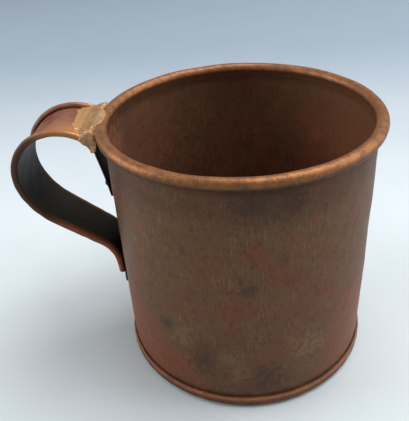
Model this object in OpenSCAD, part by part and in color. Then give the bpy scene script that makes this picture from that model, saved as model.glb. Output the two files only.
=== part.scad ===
// Drinking mug of sheet copper: a rolled body with a wired rim, a pan-shaped bottom
// soldered over its foot, and a strap handle with wired edges, riveted on and brazed.
// The origin is on the mug's axis, on the surface it stands on. +Z is up and the
// handle points along -X.

/* [Body] */
// Overall height of the mug
mug_h = 99; // [80:0.5:130]
// Diameter over the rolled rim
rim_d = 101.6; // [90:0.2:130]
// Outer diameter of the body's wall
body_d = 96.2; // [86:0.2:124]
// Thickness of the body's sheet
sheet_t = 0.6; // [0.5:0.05:0.8]
// Diameter of the wire inside the rolled rim
rim_wire_d = 3; // [2.4:0.1:3.4]
// Width of the lap where the body's sheet overlaps itself
lap_w = 6; // [4:0.5:8]

/* [Bottom] */
// Height of the bottom's turned-up edge
foot_h = 5.3; // [4.8:0.1:6.4]
// How far the turned-up edge swells out beyond the body's wall
foot_swell = 0.95; // [0.7:0.05:1.3]
// Rounding of the bottom's lower corner
foot_round = 2.4; // [2:0.1:2.8]
// Thickness of the bottom's sheet
bottom_t = 0.7; // [0.5:0.05:0.9]

/* [Handle] */
// Width of the strap over its wired edges, where it leaves the rim
strap_top_w = 28; // [24:0.5:30]
// Width of the strap over its wired edges, at its lower end
strap_low_w = 18; // [16:0.5:20]
// Thickness of the strap's sheet
strap_t = 0.6; // [0.5:0.05:0.7]
// Diameter of the wire in each edge of the strap
edge_wire_d = 1.2; // [1:0.1:1.4]
// Radius of the loop's round crown, at the middle of the sheet
crown_r = 17.9; // [17:0.1:19]
// Distance of the crown's centre from the mug's axis
crown_reach = 62.9; // [62:0.1:65]
// Height of the crown's centre below the mug's top
crown_drop = 20.1; // [19:0.1:22]
// Radius of the loop's flatter back
back_r = 26.5; // [24:0.5:30]
// Radius of the bend into the lower tab
foot_bend_r = 12.4; // [10:0.2:14]
// Slope of the straight lower run, below level
run_slope = 35; // [32:0.5:38]

/* [Rivets] */
// Diameter of a rivet's round head
rivet_head_d = 5.6; // [4.8:0.2:6.4]
// Height of a rivet's round head
rivet_head_h = 2.3; // [1.6:0.1:2.6]
// Diameter of a rivet's shank
rivet_d = 2.8; // [2.4:0.1:3.2]

/* [Hidden] */
$fn = 96;

copper = [0.42, 0.29, 0.22];
worn_copper = [0.66, 0.43, 0.29];
dark_copper = [0.30, 0.25, 0.22];
strap_copper = [0.50, 0.33, 0.27];
brass = [0.78, 0.60, 0.36];
solder = [0.55, 0.54, 0.50];
steel = [0.35, 0.34, 0.33];

// Wall: the outer radius, and the rolled rim's own section
body_r = body_d / 2;
inner_r = body_r - sheet_t;
fit = 0.05;                                  // clearance between a wire and its roll
roll_in = rim_wire_d / 2 + fit;              // radius inside the roll
roll_out = roll_in + sheet_t;                // radius over the roll
roll_reach = rim_d / 2 - roll_out;           // roll's centre from the axis
roll_z = mug_h - roll_out;                   // roll's centre above the base
jog_z = roll_z - 5.2;                        // where the wall starts to lean in to the roll
jog_in = body_r - sheet_t / 2 - (roll_reach - roll_in - sheet_t / 2);

// Foot: the bottom's edge turns up round the flared end of the wall and closes in over it
foot_r = body_r + foot_swell;                // widest, at the top of the lower corner's rounding
lip_in = 0.5;                                // how far the lip closes in from there
lip_rise = foot_h - foot_round;
close_r = (lip_rise * lip_rise + lip_in * lip_in) / (2 * lip_in);
wall_foot = bottom_t + 0.6;                  // lower end of the wall
neck_z = foot_h + 3;                         // where the wall reaches its full radius
foot_heights = [for (k = [0:6]) wall_foot + (foot_h - wall_foot) * k / 6];

// Side seam: the sheet's outer end lies over its inner end under the handle
lap_angle = lap_w / body_r * 180 / PI;
lap_r = body_r + 0.5;

// Handle: the strap's path in the plane of the mug's axis, as [reach, height]
curl_r = edge_wire_d / 2 + 0.03 + strap_t;   // radius over an edge's roll
curl_in = curl_r - strap_t;                  // radius inside an edge's roll
curl_off = curl_r - strap_t / 2;             // roll's centre above the middle of the sheet
curl_end = 195;                              // how far round the roll goes
curl_n = 9;
shoulder_r = 3.5;                            // tight bend where the strap turns down at the rim
tab_mid = lap_r + 0.05 + strap_t / 2;        // middle of a tab's sheet from the axis
upper_tab_z = 67;                            // lower end of the upper tab
lower_wire_z = 33.5;                         // where the wired edges stop above the lower tab
lower_tab_z = 25;                            // end of the lower tab
tab_half = 6.6;                              // half width of a tab
shoulder_half = 11;                          // half width of the flat sheet at the shoulder
upper_rivet_z = 71.6;
lower_rivet_z = 30.4;

a_join = 126;                                // where the shoulder bend meets the crown
a_split = -23;                               // where the crown meets the back
a_run = -90 + run_slope;                     // where the back meets the straight run
crown_c = [crown_reach, mug_h - crown_drop];
shoulder_c = crown_c + (crown_r - shoulder_r) * dir(a_join);
back_c = crown_c + (crown_r - back_r) * dir(a_split);
run_a = a_run - 90;                          // heading along the straight run
run_start = back_c + back_r * dir(a_run);
run_len = (tab_mid + foot_bend_r - run_start[0] + sin(run_a) * foot_bend_r) / cos(run_a);
bend_c = run_start + run_len * dir(run_a) + foot_bend_r * [-sin(run_a), cos(run_a)];

// Upper tab: a straight line from its foot, tangent to the shoulder bend
tab_foot = [tab_mid, upper_tab_z];
tab_to_c = shoulder_c - tab_foot;
tab_a = atan2(tab_to_c[1], tab_to_c[0]) + asin(shoulder_r / norm(tab_to_c));
tab_len = sqrt(pow(norm(tab_to_c), 2) - pow(shoulder_r, 2));
tab_lean = 90 - tab_a;

function dir(a) = [cos(a), sin(a)];
function lerp(a, b, t) = a + (b - a) * t;
function reversed(v) = [for (i = [len(v) - 1:-1:0]) v[i]];

// Stations are [reach, height, heading], and an arc turns clockwise
function arc_at(c, r, a) = [c[0] + r * cos(a), c[1] + r * sin(a), a - 90];
function arc_run(c, r, a0, a1, n, first = 1) = [for (i = [first:n]) arc_at(c, r, lerp(a0, a1, i / n))];

wired_path = concat(
    arc_run(shoulder_c, shoulder_r, tab_a + 90, a_join, 4, 0),
    arc_run(crown_c, crown_r, a_join, a_split, 18),
    arc_run(back_c, back_r, a_split, a_run, 4),
    [for (i = [1:3]) let (p = run_start + run_len * i / 3 * dir(run_a)) [p[0], p[1], run_a]],
    [for (i = [1:7]) let (a = lerp(run_a, -90, i / 7))
        [bend_c[0] + foot_bend_r * sin(a), bend_c[1] - foot_bend_r * cos(a), a]],
    [[tab_mid, lower_wire_z, -90]]);

wired_n = len(wired_path);
step_len = [for (i = [1:wired_n - 1])
    norm([wired_path[i][0] - wired_path[i - 1][0], wired_path[i][1] - wired_path[i - 1][1]])];
function sum_to(i, k = 0) = k >= i ? 0 : step_len[k] + sum_to(i, k + 1);
path_len = sum_to(wired_n - 1);
along = [for (i = [0:wired_n - 1]) sum_to(i) / path_len];

// How far a point at side s is drawn in to the wall's curve, where hug goes from 0 to 1
function hug_in(s, hug) = hug * (lap_r - sqrt(lap_r * lap_r - s * s));
function hug_low(z) = max(0, min(1, (bend_c[1] + 3 - z) / (bend_c[1] + 3 - lower_wire_z)));

// A point of a section: s across the strap, n above the middle of its sheet
function place(st, p, hug) = [
    st[0] - sin(st[2]) * p[1] - hug_in(p[0], hug),
    p[0],
    st[1] + cos(st[2]) * p[1]];

function half_w(t) = lerp(strap_top_w, strap_low_w, t) / 2;
function flat_half(t) = lerp(shoulder_half, tab_half, t);
columns = [-1, -0.5, 0, 0.5, 1];

// Section of the plain sheet, of half width h: its inner face, then its outer face back
function tab_section(h) = concat(
    [for (k = columns) [k * h, -strap_t / 2]],
    [for (k = columns) [-k * h, strap_t / 2]]);

// One edge's roll, from the sheet round the outside to the cut edge and back inside
function curl(side, w) = [
    for (k = [0:2 * curl_n + 1])
        let (j = k <= curl_n ? k : 2 * curl_n + 1 - k, r = k <= curl_n ? curl_r : curl_in,
            a = lerp(-90, curl_end, j / curl_n))
        [side * (w - curl_r + r * cos(a)), curl_off + r * sin(a)]];

// Section of the wired strap, of half width w, with the tab's columns at half width h
function wired_section(w, h) = concat(
    [for (k = columns) [k * h, -strap_t / 2]],
    curl(1, w),
    [for (k = columns) [-k * h, strap_t / 2]],
    reversed(curl(-1, w)));

col_n = len(columns);
curl_pts = 2 * curl_n + 2;
ring_n = 2 * col_n + 2 * curl_pts;
// Where the sheet's own columns lie in a wired ring: the inner face, then the outer face
sheet_idx = concat([for (k = [0:col_n - 1]) k], [for (k = [0:col_n - 1]) col_n + curl_pts + k]);
right_cap = [for (k = [col_n - 1:col_n + curl_pts]) k];
left_cap = concat([for (k = [2 * col_n + curl_pts - 1:ring_n - 1]) k], [0]);

// Plain tabs: distance from the end and half width, the end being rounded
tab_end = [[0, 3.4], [0.5, 4.8], [1.5, 6], [3.2, tab_half]];
upper_tab = concat(
    [for (e = tab_end) [e[0], e[1], 1]],
    [for (k = [1:5]) let (d = lerp(tab_end[3][0], tab_len, k / 6))
        [d, lerp(tab_half, shoulder_half, k / 6), 1 - k / 6]]);
lower_tab = [for (e = reversed(tab_end)) [e[0], e[1], 1]];

upper_rings = [for (e = upper_tab) let (p = tab_foot + e[0] * dir(tab_a))
    [for (q = tab_section(e[1])) place([p[0], p[1], tab_a], q, e[2])]];
wired_rings = [for (i = [0:wired_n - 1]) let (st = wired_path[i])
    [for (q = wired_section(half_w(along[i]), flat_half(along[i])))
        place(st, q, st[0] < bend_c[0] && i > wired_n / 2 ? hug_low(st[1]) : 0)]];
lower_rings = [for (e = lower_tab)
    [for (q = tab_section(e[1])) place([tab_mid, lower_tab_z + e[0], -90], q, e[2])]];

up_n = len(upper_rings);
low_n = len(lower_rings);
tab_ring_n = 2 * col_n;
wired_base = up_n * tab_ring_n;
low_base = wired_base + wired_n * ring_n;
function up_id(i) = [for (k = [0:tab_ring_n - 1]) i * tab_ring_n + k];
function wired_id(i) = [for (k = [0:ring_n - 1]) wired_base + i * ring_n + k];
function sheet_id(i) = [for (k = sheet_idx) wired_base + i * ring_n + k];
function low_id(i) = [for (k = [0:tab_ring_n - 1]) low_base + i * tab_ring_n + k];
function band(a, b) = [for (k = [0:len(a) - 1]) let (m = (k + 1) % len(a)) each [
    [a[k], b[k], b[m]], [a[k], b[m], a[m]]]];
function bands(rows) = [for (i = [1:len(rows) - 1]) each band(rows[i - 1], rows[i])];

strap_points = [for (g = [upper_rings, wired_rings, lower_rings]) each [for (r = g) each r]];
strap_faces = concat(
    [up_id(0)],
    bands(concat([for (i = [0:up_n - 1]) up_id(i)], [sheet_id(0)])),
    [[for (k = right_cap) wired_base + k]],
    [[for (k = left_cap) wired_base + k]],
    bands([for (i = [0:wired_n - 1]) wired_id(i)]),
    [reversed([for (k = right_cap) wired_base + (wired_n - 1) * ring_n + k])],
    [reversed([for (k = left_cap) wired_base + (wired_n - 1) * ring_n + k])],
    bands(concat([sheet_id(wired_n - 1)], [for (i = [0:low_n - 1]) low_id(i)])),
    [reversed(low_id(low_n - 1))]);

// An edge wire is a ten-sided tube along its roll's centre
wire_sides = 10;
function wire_rings(side) = [for (i = [0:wired_n - 1]) let (st = wired_path[i])
    [for (k = [0:wire_sides - 1]) let (a = 360 * k / wire_sides)
        place(st, [side * (half_w(along[i]) - curl_r) + edge_wire_d / 2 * cos(a),
            curl_off + edge_wire_d / 2 * sin(a)],
            st[0] < bend_c[0] && i > wired_n / 2 ? hug_low(st[1]) : 0)]];

module handle_side() {
    rotate([0, 0, 180]) children();
}

// The two rivet holes, square to the tabs, through the tabs and the wall
module upper_rivet_place() {
    handle_side()
        translate([tab_mid + (upper_rivet_z - upper_tab_z) * tan(tab_lean), 0, upper_rivet_z])
            rotate([0, 90 + tab_lean, 0]) children();
}

module lower_rivet_place() {
    handle_side() translate([tab_mid, 0, lower_rivet_z]) rotate([0, 90, 0]) children();
}

module rivet_holes() {
    upper_rivet_place() cylinder(d = rivet_d, h = 16, center = true);
    lower_rivet_place() cylinder(d = rivet_d, h = 16, center = true);
}

// A round-headed rivet along +Z, from the middle of the tab's sheet, with its inner end
// beaten flat against the wall's inner face, tail_z below the middle of the tab
module rivet(tail_z) {
    peen_d = rivet_d + 1.6;
    head_z = strap_t / 2;
    dome_r = (pow(rivet_head_d / 2, 2) + pow(rivet_head_h, 2)) / (2 * rivet_head_h);
    rotate_extrude() intersection() {
        translate([0, head_z]) square([rivet_head_d, rivet_head_h + 1]);
        translate([0, head_z + rivet_head_h - dome_r]) circle(dome_r);
    }
    translate([0, 0, -tail_z]) cylinder(d = rivet_d, h = tail_z + head_z + 0.5);
    translate([0, 0, -tail_z - 0.7]) cylinder(d1 = rivet_d + 0.4, d2 = peen_d, h = 0.7);
}

// Face of the bottom's turned-up edge at height z, at depth t into its sheet
function foot_face(z, t) = z < foot_round
    ? foot_r - foot_round + sqrt(pow(foot_round - t, 2) - pow(foot_round - z, 2))
    : foot_r - close_r + sqrt(pow(close_r - t, 2) - pow(z - foot_round, 2));

// Half a cosine wave from 0 to 1
function wave(t) = (1 - cos(180 * t)) / 2;

// Outer face of the wall's sheet at height z, from its foot to the start of the roll
function wall_r(z) = z <= foot_h ? foot_face(z, bottom_t)
    : z <= neck_z ? lerp(foot_face(foot_h, bottom_t), body_r, wave((z - foot_h) / (neck_z - foot_h)))
    : z <= jog_z ? body_r
    : body_r - jog_in * wave((z - jog_z) / (roll_z - jog_z));
wall_heights = concat(
    foot_heights,
    [for (k = [1:4]) lerp(foot_h, neck_z, k / 4)],
    [for (k = [0:6]) lerp(jog_z, roll_z, k / 6)]);

// The roll goes up the inside, over the top, and down to a cut edge under the rim
roll_steps = 26;
roll_end = -118;
roll_c = [roll_reach, roll_z];
function roll_arc(r) = [for (k = [1:roll_steps]) roll_c + r * dir(lerp(180, roll_end, k / roll_steps))];

module wall_profile() {
    polygon(concat(
        [for (z = wall_heights) [wall_r(z), z]],
        roll_arc(roll_in),
        reversed(roll_arc(roll_out)),
        [for (z = reversed(wall_heights)) [wall_r(z) - sheet_t, z]]));
}

// Sheet copper rolled into a cylinder, its ends lapped, its top rolled over a wire
module wall() {
    color(copper) difference() {
        union() {
            rotate_extrude() wall_profile();
            handle_side() rotate([0, 0, -lap_angle / 2]) rotate_extrude(angle = lap_angle)
                translate([body_r - sheet_t / 2, neck_z])
                    square([lap_r - body_r + sheet_t / 2, jog_z - neck_z]);
        }
        rivet_holes();
    }
}

// Round wire closed into a ring inside the rolled rim
module rim_wire() {
    color(steel) rotate_extrude() translate(roll_c) circle(d = rim_wire_d);
}

// The inside of the bottom's rounded corner, from the disc up to the wall's lower end
corner_c = [foot_r - foot_round, foot_round];
corner_in = foot_round - bottom_t;
corner_end = -asin((foot_round - wall_foot) / corner_in);
corner_arc = [for (k = [0:5]) corner_c + corner_in * dir(lerp(-90, corner_end, k / 5))];

// Sheet copper disc with its edge turned up and closed in round the wall's foot
module bottom() {
    lip = 0.15;
    outside = [for (z = foot_heights) if (z > foot_round && z < foot_h) [foot_face(z, 0), z]];
    color(worn_copper) rotate_extrude() polygon(concat(
        [[0, 0]],
        [for (k = [0:8]) corner_c + foot_round * dir(lerp(-90, 0, k / 8))],
        outside,
        [[foot_face(foot_h - lip, 0), foot_h - lip], [foot_face(foot_h, lip), foot_h]],
        [for (z = reversed(foot_heights)) [foot_face(z, bottom_t), z]],
        [for (k = [4:-1:0]) corner_arc[k]],
        [[0, bottom_t]]));
}

// Fillet of solder sealing the inside corner between the wall and the bottom
module bottom_solder() {
    toe = [corner_c[0] - 0.5, bottom_t];
    top_z = foot_heights[1];
    top = [foot_face(top_z, bottom_t) - sheet_t, top_z];
    color(solder) rotate_extrude() polygon(concat(
        [toe],
        corner_arc,
        [[foot_face(wall_foot, bottom_t) - sheet_t, wall_foot], top, lerp(toe, top, 0.5) + [0.1, -0.1]]));
}

// Solder along the outer cut edge of the body's lap
module seam_solder() {
    leg = 0.5;
    face_r = body_r + 0.01;
    color(solder) handle_side() rotate([0, 0, lap_angle / 2]) translate([0, 0, neck_z])
        linear_extrude(jog_z - neck_z) polygon([[face_r, 0.01], [lap_r, 0.01], [face_r, leg]]);
}

// Tapered strap of sheet copper: both edges rolled over wire, and a plain tab at each end
module handle_strap() {
    color(strap_copper) difference() {
        handle_side() polyhedron(points = strap_points, faces = strap_faces, convexity = 8);
        rivet_holes();
    }
}

module edge_wire(side) {
    rings = wire_rings(side);
    ids = [for (i = [0:wired_n - 1]) [for (k = [0:wire_sides - 1]) i * wire_sides + k]];
    color(steel) handle_side() polyhedron(
        points = [for (r = rings) each r],
        faces = concat([ids[0]], bands(ids), [reversed(ids[wired_n - 1])]),
        convexity = 6);
}

// Wires inside the strap's rolled edges: near is towards -Y, far towards +Y
module handle_wire_near() {
    edge_wire(1);
}

module handle_wire_far() {
    edge_wire(-1);
}

// Rivet through the upper tab and the wall
module upper_rivet() {
    gap = (upper_rivet_z - upper_tab_z) * tan(tab_lean);
    color(dark_copper) upper_rivet_place() rivet(tab_mid + gap - inner_r);
}

// Rivet through the lower tab and the wall
module lower_rivet() {
    color(dark_copper) lower_rivet_place() rivet(tab_mid - inner_r);
}

// Braze run between the strap's top and the rolled rim, thinning out along the strap
module rim_braze() {
    film = 0.5;                              // thickness of the thin part
    face_r = crown_r + strap_t / 2 + 0.02;
    a_far = 84;                              // where it ends along the crown
    a_fat = 108;                             // where it starts to thicken towards the rim
    half = shoulder_half - 0.4;
    color(brass) difference() {
        handle_side() translate([0, half, 0]) rotate([90, 0, 0]) linear_extrude(2 * half) polygon(concat(
            [for (k = [0:8]) crown_c + face_r * dir(lerp(a_join, a_far, k / 8))],
            [for (k = [0:5]) let (top_r = face_r + film * (k == 0 ? 0.3 : 1))
                crown_c + top_r * dir(lerp(a_far + 1, a_fat, k / 5))],
            [[roll_reach + 2.6, roll_z + 1], [roll_reach + 0.9, mug_h - 0.3],
                [roll_reach - 1, roll_z], [roll_reach + 0.6, roll_z - roll_out + 0.5]]));
        rotate_extrude() translate(roll_c) circle(roll_out);
        cylinder(r = roll_reach, h = 2 * mug_h);
    }
}

wall();
rim_wire();
bottom();
bottom_solder();
seam_solder();
handle_strap();
handle_wire_near();
handle_wire_far();
upper_rivet();
lower_rivet();
rim_braze();
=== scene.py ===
import math

import bmesh
import bpy
import numpy as np
from mathutils import Matrix, Vector


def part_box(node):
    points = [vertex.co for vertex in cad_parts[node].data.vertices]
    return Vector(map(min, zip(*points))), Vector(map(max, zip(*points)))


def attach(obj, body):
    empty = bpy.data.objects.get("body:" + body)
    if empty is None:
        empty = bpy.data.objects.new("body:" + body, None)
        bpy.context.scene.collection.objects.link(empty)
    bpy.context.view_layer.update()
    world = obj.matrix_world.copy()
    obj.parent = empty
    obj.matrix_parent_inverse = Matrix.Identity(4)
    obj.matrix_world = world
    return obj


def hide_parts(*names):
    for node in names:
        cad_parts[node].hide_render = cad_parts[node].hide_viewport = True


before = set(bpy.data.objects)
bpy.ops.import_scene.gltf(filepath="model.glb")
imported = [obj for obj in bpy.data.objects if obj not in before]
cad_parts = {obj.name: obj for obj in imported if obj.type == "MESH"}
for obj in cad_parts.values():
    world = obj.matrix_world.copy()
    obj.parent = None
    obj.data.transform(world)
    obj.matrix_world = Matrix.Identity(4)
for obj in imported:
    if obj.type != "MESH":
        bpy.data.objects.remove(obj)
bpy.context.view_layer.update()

# ---------------------------------------------------------------------------------------
# Wall. One sheet of copper rolled into a cylinder, lapped under the handle, its top edge
# rolled outwards over a wire and its foot shaped to sit inside the bottom. Brown with age
# outside, darker within, and rubbed towards bare copper along the roll.
# ---------------------------------------------------------------------------------------
MM = 0.001
rim_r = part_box("wall")[1].y / MM
mug_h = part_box("wall")[1].z / MM
foot_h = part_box("bottom")[1].z / MM
foot_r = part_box("bottom")[1].x / MM
wall_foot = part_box("wall")[0].z / MM
foot_swell = 0.95
body_r = foot_r - foot_swell
roll_from, roll_to = -118, 174
sheet_t = 0.6
bottom_t = 0.7
foot_round = 2.4
lip_in = 0.5
close_r = ((foot_h - foot_round) ** 2 + lip_in ** 2) / (2 * lip_in)
neck_rise = 3
neck_z = foot_h + neck_rise
roll_out = 2.15
roll_in = roll_out - sheet_t
roll_reach = rim_r - roll_out
roll_z = mug_h - roll_out
jog_drop = 5.2
jog_z = roll_z - jog_drop
lap_w = 6
lap_half = math.degrees(lap_w / 2 / body_r)
lap_rise = 0.5


def ease(x, lo, hi):
    """0 below lo and 1 above hi, with the smooth cubic step between."""
    t = np.clip((x - lo) / (hi - lo), 0, 1)
    return t * t * (3 - 2 * t)


def uneven(a, b, seed, waves=7, low=1.0, high=6.0):
    """A sum of a few sine waves over two parameters, about -1 to 1, that repeats in neither."""
    rng = np.random.default_rng(seed)
    total = np.zeros(np.broadcast(a, b).shape)
    for _ in range(waves):
        fa, fb = rng.uniform(low, high, 2) * rng.choice([-1, 1], 2)
        total = total + np.sin(fa * a + fb * b + rng.uniform(0, 2 * np.pi))
    return total / waves ** 0.5 / 1.4


def arc(centre, r, a0, a1, n):
    """n + 1 points of a circle from angle a0 to a1, in degrees."""
    a = np.radians(np.linspace(a0, a1, n + 1))
    return np.stack([centre[0] + r * np.cos(a), centre[1] + r * np.sin(a)], -1)


def outline_length(points):
    """Distance along a run of points, from its first."""
    return np.concatenate([[0], np.cumsum(np.linalg.norm(np.diff(points, axis=0), axis=1))])


def make_mesh(name, points, faces, marks=None):
    """A closed mesh from points in millimetres and faces as rows of point numbers. Points that
    meet, as at a pole, are merged and faces turned outwards. Marks are named values per point."""
    mesh = bpy.data.meshes.new(name)
    mesh.from_pydata((np.asarray(points) * MM).tolist(), [], faces)
    for key, values in (marks or {}).items():
        layer = mesh.attributes.new(key, "FLOAT", "POINT")
        layer.data.foreach_set("value", np.asarray(values, np.float32).ravel())
    edit = bmesh.new()
    edit.from_mesh(mesh)
    bmesh.ops.remove_doubles(edit, verts=edit.verts, dist=1e-6)
    bmesh.ops.recalc_face_normals(edit, faces=edit.faces)
    edit.to_mesh(mesh)
    edit.free()
    mesh.polygons.foreach_set("use_smooth", np.ones(len(mesh.polygons), bool))
    mesh.update()
    piece = bpy.data.objects.new(name, mesh)
    bpy.context.scene.collection.objects.link(piece)
    return piece


def grid_faces(rows, columns, wrap_rows, wrap_columns):
    """Quads over a grid of points numbered row by row, joined up in the directions that wrap."""
    down, along = np.arange(rows - (not wrap_rows)), np.arange(columns - (not wrap_columns))
    i, j = np.meshgrid(down, along, indexing="ij")
    i1, j1 = (i + 1) % rows, (j + 1) % columns
    corners = [i * columns + j, i * columns + j1, i1 * columns + j1, i1 * columns + j]
    return np.stack(corners, -1).reshape(-1, 4)


def revolve(name, outline, angles, shift=None, marks=None, turn=None, offset=(0, 0, 0)):
    """The closed outline (radius, height) carried round the axis at each of the angles, where
    shift(angle, r, z) gives what is added to radius and height. The rows of turn are where X, Y
    and Z then point, and offset is where the origin goes. Marks hold one value per outline point."""
    r = np.broadcast_to(outline[:, None, 0], (len(outline), len(angles)))
    z = np.broadcast_to(outline[:, None, 1], r.shape)
    a = np.broadcast_to(angles[None, :], r.shape)
    if shift is not None:
        dr, dz = shift(a, r, z)
        r, z = r + dr, z + dz
    points = np.stack([r * np.cos(a), r * np.sin(a), z], -1).reshape(-1, 3)
    if turn is not None:
        points = points @ np.asarray(turn) + offset
    spread = {k: np.broadcast_to(np.asarray(v)[:, None], r.shape) for k, v in (marks or {}).items()}
    return make_mesh(name, points, grid_faces(len(outline), len(angles), True, True).tolist(), spread)


class Value:
    """A shader socket that takes part in Python expressions, each of which adds a Math node."""

    def __init__(self, finish, socket):
        self.finish, self.socket = finish, socket

    def __add__(self, other):
        return self.finish.math("ADD", self, other)

    def __sub__(self, other):
        return self.finish.math("SUBTRACT", self, other)

    def __rsub__(self, other):
        return self.finish.math("SUBTRACT", other, self)

    def __mul__(self, other):
        return self.finish.math("MULTIPLY", self, other)

    __radd__, __rmul__ = __add__, __mul__


class Finish:
    """A material under construction."""

    def __init__(self, name):
        self.material = bpy.data.materials.new(name)
        self.material.use_nodes = True
        self.tree = self.material.node_tree
        self.tree.nodes.clear()

    def node(self, kind, settings=None, inputs=None, output=0):
        """Adds a node: its settings first, then its sockets' values or links."""
        made = self.tree.nodes.new(kind)
        for key, value in (settings or {}).items():
            setattr(made, key, value)
        for key, value in (inputs or {}).items():
            if isinstance(value, Value):
                self.tree.links.new(value.socket, made.inputs[key])
            else:
                made.inputs[key].default_value = value
        return Value(self, made.outputs[output])

    def math(self, kind, *values):
        return self.node("ShaderNodeMath", {"operation": kind}, dict(enumerate(values)))

    def vector(self, kind, *values):
        return self.node("ShaderNodeVectorMath", {"operation": kind}, dict(enumerate(values)))

    def distance(self, a, b):
        return self.node("ShaderNodeVectorMath", {"operation": "DISTANCE"}, {0: a, 1: b}, "Value")

    def step(self, value, lo, hi):
        """0 below lo and 1 above hi, smooth between; falls instead where lo is above hi."""
        sockets = {"Value": value, "From Min": min(lo, hi), "From Max": max(lo, hi),
            "To Min": float(lo > hi), "To Max": float(lo < hi)}
        return self.node("ShaderNodeMapRange", {"interpolation_type": "SMOOTHSTEP"}, sockets)

    def mix(self, share, a, b):
        """Colour a where share is 0 and b where it is 1."""
        settings = {"data_type": "RGBA", "clamp_factor": True}
        return self.node("ShaderNodeMix", settings, {0: share, 6: a, 7: b}, 2)

    def place(self):
        """Object coordinates, in millimetres."""
        found = self.node("ShaderNodeTexCoord", output="Object")
        return self.vector("MULTIPLY", found, (1000, 1000, 1000))

    def mark(self, name):
        """A value stored on the mesh."""
        return self.node("ShaderNodeAttribute", {"attribute_name": name}, output="Fac")

    def noise(self, place, scale, detail=2.0, rough=0.5, distort=0.0, stretch=None):
        """Cloudy noise about 0.5, with scale in features per millimetre."""
        if stretch:
            place = self.vector("MULTIPLY", place, stretch)
        sockets = {"Vector": place, "Scale": scale, "Detail": detail, "Roughness": rough,
            "Distortion": distort}
        return self.node("ShaderNodeTexNoise", None, sockets)

    def surface(self, colour, rough, metal, bump=None, depth=0.0002, plain=None):
        """Joins up the shader: what varies is linked, and plain holds its constant sockets."""
        sockets = {"Base Color": colour, "Roughness": rough, "Metallic": metal}
        if bump is not None:
            sockets["Normal"] = self.node("ShaderNodeBump", None, {"Height": bump, "Distance": depth})
        shader = self.node("ShaderNodeBsdfPrincipled", None, {**sockets, **(plain or {})})
        end = self.tree.nodes.new("ShaderNodeOutputMaterial")
        self.tree.links.new(shader.socket, end.inputs["Surface"])
        return self.material


def tone(r, g, b):
    """A colour as it looks on a screen, 0 to 255, made linear."""
    return tuple(((c / 255 + 0.055) / 1.055) ** 2.4 if c > 10 else c / 255 / 12.92 for c in (r, g, b)) + (1,)


def on_wall(angle, height):
    """The point of the wall at an angle in degrees from -Y towards +X, and a height, in millimetres."""
    return (body_r * math.sin(math.radians(angle)), -body_r * math.cos(math.radians(angle)), height)


def foot_face(z, t):
    """Radius of the turned-up foot's face at height z and depth t into its sheet: a round lower
    corner, then a flatter arc that closes in to the lip."""
    low = foot_r - foot_round + np.sqrt(np.maximum((foot_round - t) ** 2 - (foot_round - z) ** 2, 0))
    high = foot_r - close_r + np.sqrt((close_r - t) ** 2 - (z - foot_round) ** 2)
    return np.where(z < foot_round, low, high)


def wall_outline():
    """The sheet's section: up the outside, round inside the roll, back over it, down the inside.
    Its marks say how far a point is on the roll, and whether it faces the drink."""
    z_up = np.concatenate([np.linspace(wall_foot, foot_h, 8), np.linspace(foot_h + 0.3, neck_z, 9),
        np.linspace(neck_z + 2, jog_z - 1, 36), np.linspace(jog_z, roll_z, 16)])

    def radius(z):
        foot = foot_face(np.minimum(z, foot_h), bottom_t)
        neck = foot + (body_r - foot) * (1 - np.cos(np.pi * np.clip((z - foot_h) / neck_rise, 0, 1))) / 2
        lean = (1 - np.cos(np.pi * np.clip((z - jog_z) / (roll_z - jog_z), 0, 1))) / 2
        return neck - lean * (body_r - roll_reach + roll_in)

    outside = np.stack([radius(z_up), z_up], -1)
    centre = (roll_reach, roll_z)
    under = arc(centre, roll_in, roll_to, roll_from, 20)
    over = arc(centre, roll_out, roll_from, roll_to, 64)
    inside = np.stack([radius(z_up[::-1]) - sheet_t, z_up[::-1]], -1)
    outline = np.concatenate([outside, under, over, inside])
    n_out, n_under, n_over = len(outside), len(under), len(over)
    angle = np.linspace(roll_from, roll_to, n_over)
    roll = np.concatenate([0.8 * ease(outside[:, 1], roll_z - 1, roll_z), np.ones(n_under + n_over),
        ease(inside[:, 1], roll_z - 2.0, roll_z)])
    drink = np.concatenate([np.zeros(n_out + n_under), ease(angle, 95, 165), np.ones(len(inside))])
    return outline, roll, drink


def wall_shift(a, r, z):
    """Hand-made unevenness: the wall wanders by about a tenth of a millimetre, the roll sags by
    as much and is pressed down at the handle, and the lap stands proud on the outside."""
    out = 0.10 * uneven(a * 2, z / 22, 3) + 0.05 * uneven(a * 6, z / 9, 4)
    out = np.where(z > jog_z, np.minimum(out, 0), out) * ease(z, 6, 14)
    under_handle = np.abs(np.abs(np.degrees(a)) - 180) < lap_half
    lap = under_handle & (r > body_r - 0.35) & (z > neck_z) & (z < jog_z)
    at_handle = np.exp(-((np.abs(a) - np.pi) / 0.3) ** 2)
    sag = 0.10 * (uneven(a * 3, 0 * z, 5) - 1) - 0.12 * at_handle
    return out + lap * lap_rise, np.minimum(sag, 0) * ease(z, 60, 95)


lap_edge = math.radians(180 - lap_half)
columns = np.sort(np.concatenate([np.linspace(-np.pi, np.pi, 360, endpoint=False),
    [lap_edge - 0.0005, lap_edge + 0.0005, -lap_edge - 0.0005, -lap_edge + 0.0005]]))
outline, roll_mark, drink_mark = wall_outline()
wall = revolve("copper_wall", outline, columns, wall_shift, {"roll": roll_mark, "drink": drink_mark})

f = Finish("aged_copper_wall")
p = f.place()
roll = f.mark("roll")
drink = f.mark("drink")
height = f.node("ShaderNodeSeparateXYZ", None, {0: p}, 2)

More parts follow.
